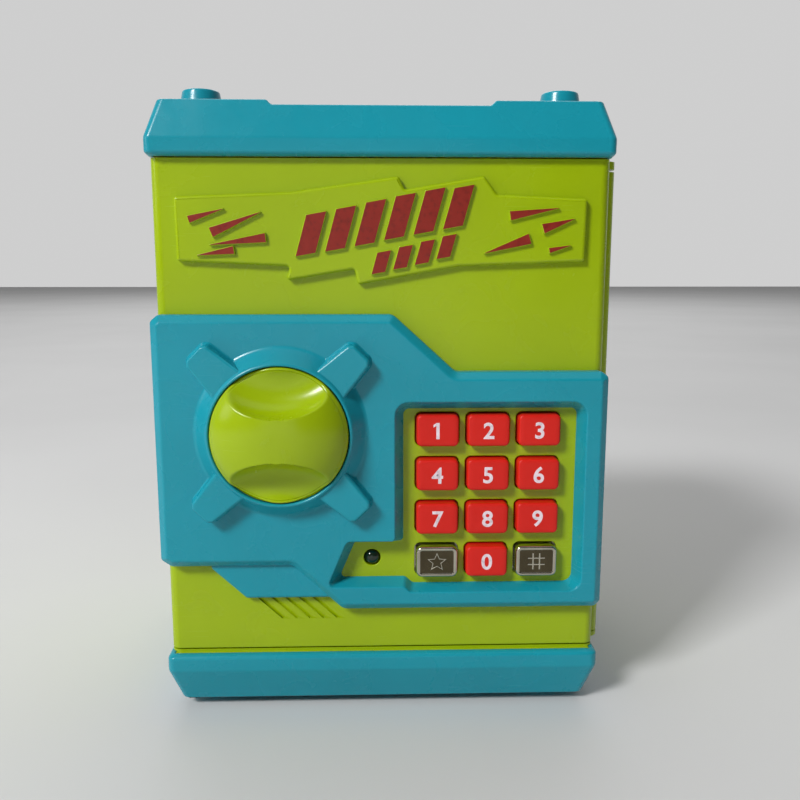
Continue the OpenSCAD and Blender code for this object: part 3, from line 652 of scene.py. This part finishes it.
def build_knob():
    bm = bmesh.new()
    steps = 240
    spacing = 0.36
    rim_r = KNOB_R - 1.1
    radii = [spacing * k for k in range(1, int(rim_r / spacing))] + [rim_r - 0.15, rim_r]
    centre = bm.verts.new(place(KNOB_X, COLLAR_FRONT - knob_height(0, 0), KNOB_Z))

    def crown_ring(radius, drop, at_radius=None):
        ring = []
        for k in range(steps):
            x = math.cos(math.tau * k / steps)
            z = math.sin(math.tau * k / steps)
            height = knob_height(x * (at_radius or radius), z * (at_radius or radius)) - drop
            ring.append(bm.verts.new(place(KNOB_X + x * radius, COLLAR_FRONT - height, KNOB_Z + z * radius)))
        return ring

    rings = [crown_ring(radius, 0) for radius in radii]
    for i in range(steps):
        bm.faces.new((centre, rings[0][i - 1], rings[0][i]))
    rings.append(crown_ring(rim_r + 0.12, 0.22))
    rings.append(crown_ring(rim_r + 0.3, 0.1))
    rings.append(crown_ring(KNOB_R - 0.45, 0.12))
    rings.append(crown_ring(KNOB_R - 0.16, 0.3, KNOB_R - 0.4))
    rings.append(crown_ring(KNOB_R - 0.03, 0.6, KNOB_R - 0.4))
    wall_end = -1
    hollow_front = -7
    hollow_r = KNOB_R - KNOB_WALL
    hub_end = low("latch_arm").y - FACE_Y - 0.05
    for radius, depth in [
        (KNOB_R, COLLAR_FRONT + 1.1), (KNOB_R, wall_end), (hollow_r, wall_end), (hollow_r, hollow_front),
        (HUB_R, hollow_front), (HUB_R, hub_end),
    ]:
        rings.append(add_ring(bm, circle(KNOB_X, KNOB_Z, radius, steps), depth))
    for first, second in zip(rings, rings[1:]):
        bridge(bm, first, second)
    square = rectangle(KNOB_X, KNOB_Z, HUB_SQUARE, HUB_SQUARE)
    square_front, square_back = loft(bm, square, [(0, hub_end), (0, high("knob").y - FACE_Y)])
    fill(bm, rings[-1], square_front)
    fill(bm, square_back)
    piece("knob_moulding", bm, "knob", LIME, ["knob"], sharp=60)


# ---------------------------------------------------------------- keys

def key_frame(name):
    """Centre x and z, width and height of a key's cap."""
    first, last = low(name), high(name)
    width = last.x - first.x - 2 * FLANGE
    height = last.z - first.z - 2 * FLANGE
    return (first.x + last.x) / 2, (first.z + last.z) / 2, width, height


def key_foot(name):
    back = high(name).y - FACE_Y
    return [(-FLANGE, back), (-FLANGE, back - 0.6), (-FLANGE + 0.1, back - 0.7), (0, back - 0.72)]


def red_key(name):
    x, z, width, height = key_frame(name)
    front = low(name).y - FACE_Y
    crown = [(1.0, front + 0.05), (1.5, front)]
    steps = key_foot(name) + quarter((0, front + 1.1), (0.7, front + 0.1)) + crown
    bm = bmesh.new()
    block(bm, rounded(rectangle(x, z, width, height), KEY_CORNER), steps)
    piece(name + "_cap", bm, name, KEY_RED, [name])


def digit(name, character):
    x, z, _, _ = key_frame(name)
    curve = bpy.data.curves.new("digit_" + character, "FONT")
    curve.body = character
    curve.align_x = "CENTER"
    curve.size = 7.1 * MM
    curve.offset = 0.16 * MM
    curve.extrude = INK_T * MM / 2
    curve.resolution_u = 6
    text = bpy.data.objects.new("digit_text", curve)
    bpy.context.scene.collection.objects.link(text)
    bpy.context.view_layer.update()
    graph = bpy.context.evaluated_depsgraph_get()
    bm = bmesh.new()
    bm.from_mesh(bpy.data.meshes.new_from_object(text.evaluated_get(graph)))
    bpy.data.objects.remove(text)
    bmesh.ops.remove_doubles(bm, verts=bm.verts, dist=0.001 * MM)
    tall = [v.co.y for v in bm.verts]
    middle = (min(tall) + max(tall)) / 2
    front = low(name).y * MM
    for vert in bm.verts:
        vert.co = Vector((x * MM + vert.co.x, front - vert.co.z, z * MM + vert.co.y - middle))
    if character == "1":
        # The photo's 1 has a slanted flag
        stem, top = min(v.co.x for v in bm.verts) / MM, max(v.co.z for v in bm.verts) / MM
        left, right = stem - 0.9, stem + 0.1
        flag = [(right, top), (left, top - 0.65), (left, top - 1.45), (right, top - 0.9)]
        flag = [Vector(point) for point in flag]
        half = INK_T / 2
        depth = low(name).y - FACE_Y
        block(bm, flag, [(0, depth + half), (0, depth - half)])
    piece("digit_" + character, bm, name, DIGIT_INK)


def star_outline(x, z, radius):
    turns = [math.pi / 2 + math.pi * k / 5 for k in range(10)]
    reach = [radius if k % 2 == 0 else radius * 0.45 for k in range(10)]
    return [Vector((x + r * math.cos(a), z + r * math.sin(a))) for r, a in zip(reach, turns)]


def raised_line(bm, outline, width, back, front):
    """Closed outline drawn as a thin raised bead."""
    outer_back, outer_front = loft(bm, outline, [(0, back), (0, front + 0.05), (0.05, front)])
    inner_back, inner_front = loft(bm, outline, [(width, back), (width, front + 0.05), (width - 0.05, front)])
    fill(bm, outer_front, inner_front)
    fill(bm, outer_back, inner_back)


def chrome_key(name, symbol):
    x, z, width, height = key_frame(name)
    front = low(name).y - FACE_Y
    rim = quarter((0, front + 0.9), (0.6, front + 0.02))
    rim += [(0.8, front), (1.0, front + 0.03), (1.15, front + 0.14), (1.25, front + 0.2)]
    bm = bmesh.new()
    outline = rounded(rectangle(x, z, width, height), KEY_CORNER + 0.3, 8)
    back_ring, face_ring = loft(bm, outline, key_foot(name) + rim)
    fill(bm, back_ring)
    face_verts = set(face_ring)
    fill(bm, face_ring)
    for face in bm.faces:
        if face_verts.issuperset(face.verts):
            face.material_index = 1
    obj = piece(name + "_cap", bm, name, CHROME_RIM, [name])
    obj.data.materials.append(CHROME_FACE)
    mark = bmesh.new()
    symbol(mark, x, z, front + 0.21, front + 0.02)
    piece(name + "_symbol", mark, name, CHROME_RIM)


def star_symbol(bm, x, z, back, front):
    raised_line(bm, star_outline(x, z, 3.3), 0.3, back, front)


def hash_symbol(bm, x, z, back, front):
    """Two upright and two level bars, joined into one solid."""
    thick, length, spread = 0.42, 5.4, 1.05
    steps = [(0, back), (0, front + 0.05), (0.06, front)]
    bars = []
    for shift in (-spread, spread):
        for outline in (rectangle(x + shift, z, thick, length), rectangle(x, z + shift, length, thick)):
            bars.append(solid(outline, steps))
    whole = combine("hash", bars[0], bars[1:])
    mesh = bpy.data.meshes.new("hash")
    whole.to_mesh(mesh)
    whole.free()
    bm.from_mesh(mesh)


def build_keys():
    for number in range(10):
        name = "key_" + str(number)
        red_key(name)
        digit(name, str(number))
    chrome_key("key_star", star_symbol)
    chrome_key("key_hash", hash_symbol)


def build_membrane():
    """Sheet with a dome behind each key; each dome gets a mesh of its own."""
    first, last = low("keypad_membrane"), high("keypad_membrane")
    middle = (first + last) / 2
    back = last.y - FACE_Y
    sheet_front = back - 1
    outline = rounded(rectangle(middle.x, middle.z, last.x - first.x, last.z - first.z), 1)
    bm = bmesh.new()
    block(bm, outline, [(0, back)] + quarter((0, sheet_front + 0.2), (0.2, sheet_front), 3))
    piece("membrane_sheet", bm, "door", SILICONE, ["keypad_membrane"])
    top = first.y - FACE_Y + 0.05
    for mark in list("0123456789") + ["star", "hash"]:
        name = "key_" + mark
        x, z, _, _ = key_frame(name)
        bm = bmesh.new()
        block(bm, circle(x, z, DOME_R, 48), [(0, sheet_front + 0.02), (1.4, top + 0.2), (1.6, top)])
        dome = piece("membrane_dome_" + mark, bm, "door", SILICONE)
        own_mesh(dome)


# ---------------------------------------------------------------- door

def cad_solid(name):
    """Copy of a CAD part's mesh with its flat faces whole."""
    bm = bmesh.new()
    bm.from_mesh(NODES[name].data)
    bmesh.ops.remove_doubles(bm, verts=bm.verts, dist=0.002 * MM)
    bmesh.ops.dissolve_limit(bm, angle_limit=math.radians(0.5), verts=bm.verts, edges=bm.edges)
    return bm


def depth_of(vert):
    return vert.co.y / MM - FACE_Y


def turns_left(points):
    ends = zip(points, points[1:] + points[:1])
    return sum(a[0] * b[1] - b[0] * a[1] for a, b in ends) > 0


def banner_marks():
    """Outlines of the banner's raised marks, from the CAD door's foremost faces."""
    bm = cad_solid("door_shell")
    front = -BANNER_T - MARK_T
    marks = []
    for face in bm.faces:
        if all(depth_of(v) < front + 0.01 for v in face.verts):
            marks.append([(v.co.x / MM, v.co.z / MM) for v in face.verts])
    bm.free()
    return [points if turns_left(points) else points[::-1] for points in marks]


def louvre(x, low_z):
    """Ramp, deep at its left edge, that leans left as it rises. A slit lies behind the deep edge."""
    rise, lean, width, deep = 7.4, 8, 3.4, 0.5
    bm = bmesh.new()
    rings = []
    for z, shift in ((low_z, 0), (low_z + rise, -lean)):
        corners = [(0, -0.5), (width, -0.5), (width, 0), (0.16, deep), (0.14, 2), (0, 2)]
        rings.append([bm.verts.new(place(x + shift + dx, depth, z)) for dx, depth in corners])
    bridge(bm, rings[0], rings[1])
    for ring in rings:
        bm.faces.new(ring)
    return bm


def at_face(edge):
    return all(abs(depth_of(vert)) < 0.02 for vert in edge.verts)


def build_door():
    # The CAD door loses its banner and its louvres first, and gets finer ones
    face_t = 2.4
    banner_area = solid(rectangle(0, 154, 126, 36), [(0, -5), (0, 0)])
    louvre_area = solid(rectangle(-24, 34.3, 40, 10), [(0, 0), (0, face_t)])
    plain = combine("door", cad_solid("door_shell"), [louvre_area], [banner_area])
    round_off(plain, bent_edges(plain, 30, at_face), 0.28, 3, "ARC")
    louvres = [louvre(LOUVRE_X + LOUVRE_PITCH * i, LOUVRE_Z) for i in range(5)]
    banner_steps = [(0, 0.3), (0, -0.2)] + quarter((0, -BANNER_T + 1), (1, -BANNER_T))
    added = [solid(rounded(BANNER_OUTLINE, 0.9), banner_steps)]
    front = -BANNER_T - MARK_T
    ink = bmesh.new()
    for mark in banner_marks():
        outline = rounded(mark, 0.3, 4)
        added.append(solid(outline, [(0, -BANNER_T + 0.3)] + quarter((0, front + 0.25), (0.22, front), 3)))
        block(ink, outline, [(0.24, front), (0.24, front - INK_T + 0.02), (0.27, front - INK_T)])
    whole = combine("door_front", plain, added, louvres)
    piece("door_moulding", whole, "door", LIME, ["door_shell"], sharp=35)
    piece("banner_ink", ink, "door", BANNER_INK)


# ---------------------------------------------------------------- cap and base

def build_tray(name, piece_name):
    """Cap or base: wide rounding on the upright corners, narrower on the other edges that are seen."""
    bm = cad_solid(name)
    first, last = low(name), high(name)
    case_z = first.z if name == "top_cap" else last.z

    def at_corner(vert):
        x, y = vert.co.x / MM, vert.co.y / MM
        from_sides = sorted((last.x - abs(x), y - first.y, last.y - y))
        return from_sides[1] < 4

    def at_case(vert):
        return abs(vert.co.z / MM - case_z) < 0.1

    def at_slot(vert):
        x, y = vert.co.x / MM, vert.co.y / MM
        return name == "top_cap" and abs(x) < SLOT_AREA[0] and abs(y - SLOT_Y) < SLOT_AREA[1]

    def upright(edge):
        tall = abs(edge.verts[0].co.z - edge.verts[1].co.z) > 0.5 * MM
        return tall and edge.is_convex and all(at_corner(v) for v in edge.verts)

    def around_slot(edge):
        return all(at_slot(v) for v in edge.verts)

    def plain(edge):
        return not any(at_slot(v) or at_case(v) for v in edge.verts)

    # More than a step of the rounded corners, which is 15 degrees, and less than the slopes' 18
    slight = 16.5
    round_off(bm, bent_edges(bm, 45, upright), TRAY_CORNER_R, 6)
    round_off(bm, bent_edges(bm, slight, around_slot), SLOT_EDGE_R, 2)
    round_off(bm, bent_edges(bm, slight, plain), TRAY_EDGE_R, 3)
    piece(piece_name, bm, "safe", TEAL, [name])


build_door()
build_tray("top_cap", "cap_moulding")
build_tray("base", "base_moulding")
build_plate()
build_knob()
build_keys()
build_membrane()


# ---------------------------------------------------------------- floor, light and camera

def build_floor():
    bm = bmesh.new()
    bmesh.ops.create_grid(bm, x_segments=1, y_segments=1, size=6)
    floor = finish_object("floor", bm)
    material, tree, shader = blank("floor_paint")
    cloud = noise(tree, object_place(tree), 3, 3)
    base = ramp(tree, cloud, (0.3, (0.58, 0.58, 0.58)), (0.7, (0.62, 0.62, 0.62)))
    tree.links.new(base, shader.inputs["Base Color"])
    shader.inputs["Roughness"].default_value = 0.8
    floor.data.materials.append(material)


def area_light(name, where, size, power, target=(0, 0, 0.1)):
    data = bpy.data.lights.new(name, "AREA")
    data.energy = power
    data.size = size
    light = bpy.data.objects.new(name, data)
    light.location = where
    light.rotation_euler = (Vector(target) - Vector(where)).to_track_quat("-Z", "Y").to_euler()
    bpy.context.scene.collection.objects.link(light)


def build_light():
    world = bpy.data.worlds.new("studio")
    bpy.context.scene.world = world
    world.use_nodes = True
    background = world.node_tree.nodes["Background"]
    background.inputs["Color"].default_value = (1, 1, 1, 1)
    direction = add(world.node_tree, "ShaderNodeTexCoord").outputs["Generated"]
    towards_back = add(world.node_tree, "ShaderNodeSeparateXYZ", {"Vector": direction}).outputs["Y"]
    strength = span(world.node_tree, towards_back, 0.08, 0.62, 0, 0.75)
    world.node_tree.links.new(strength, background.inputs["Strength"])
    area_light("key", (-1.4, -1.48, 1.63), 0.55, 56)
    area_light("left_window", (-0.75, -0.25, 0.35), 0.3, 0.6)
    area_light("low_front", (-0.1, -1.1, 0.12), 0.5, 0.45, (0, 0, 0.02))
    area_light("ceiling", (0, -0.1, 1.6), 1.2, 3)
    area_light("back_ceiling", (0, 2.4, 2), 2.4, 34, (0, 2.4, 0))


def build_camera():
    yaw, pitch = math.radians(1.62), math.radians(9.24)
    ahead = Vector((math.sin(yaw) * math.cos(pitch), math.cos(yaw) * math.cos(pitch), -math.sin(pitch)))
    data = bpy.data.cameras.new("camera")
    data.sensor_width = 36
    data.lens = 36.54
    camera = bpy.data.objects.new("camera", data)
    camera.location = place(-1.7, -250, 143.1)
    camera.rotation_euler = ahead.to_track_quat("-Z", "Y").to_euler()
    bpy.context.scene.collection.objects.link(camera)
    bpy.context.scene.camera = camera


build_floor()
build_light()
build_camera()
bpy.context.scene.view_settings.view_transform = "Standard"
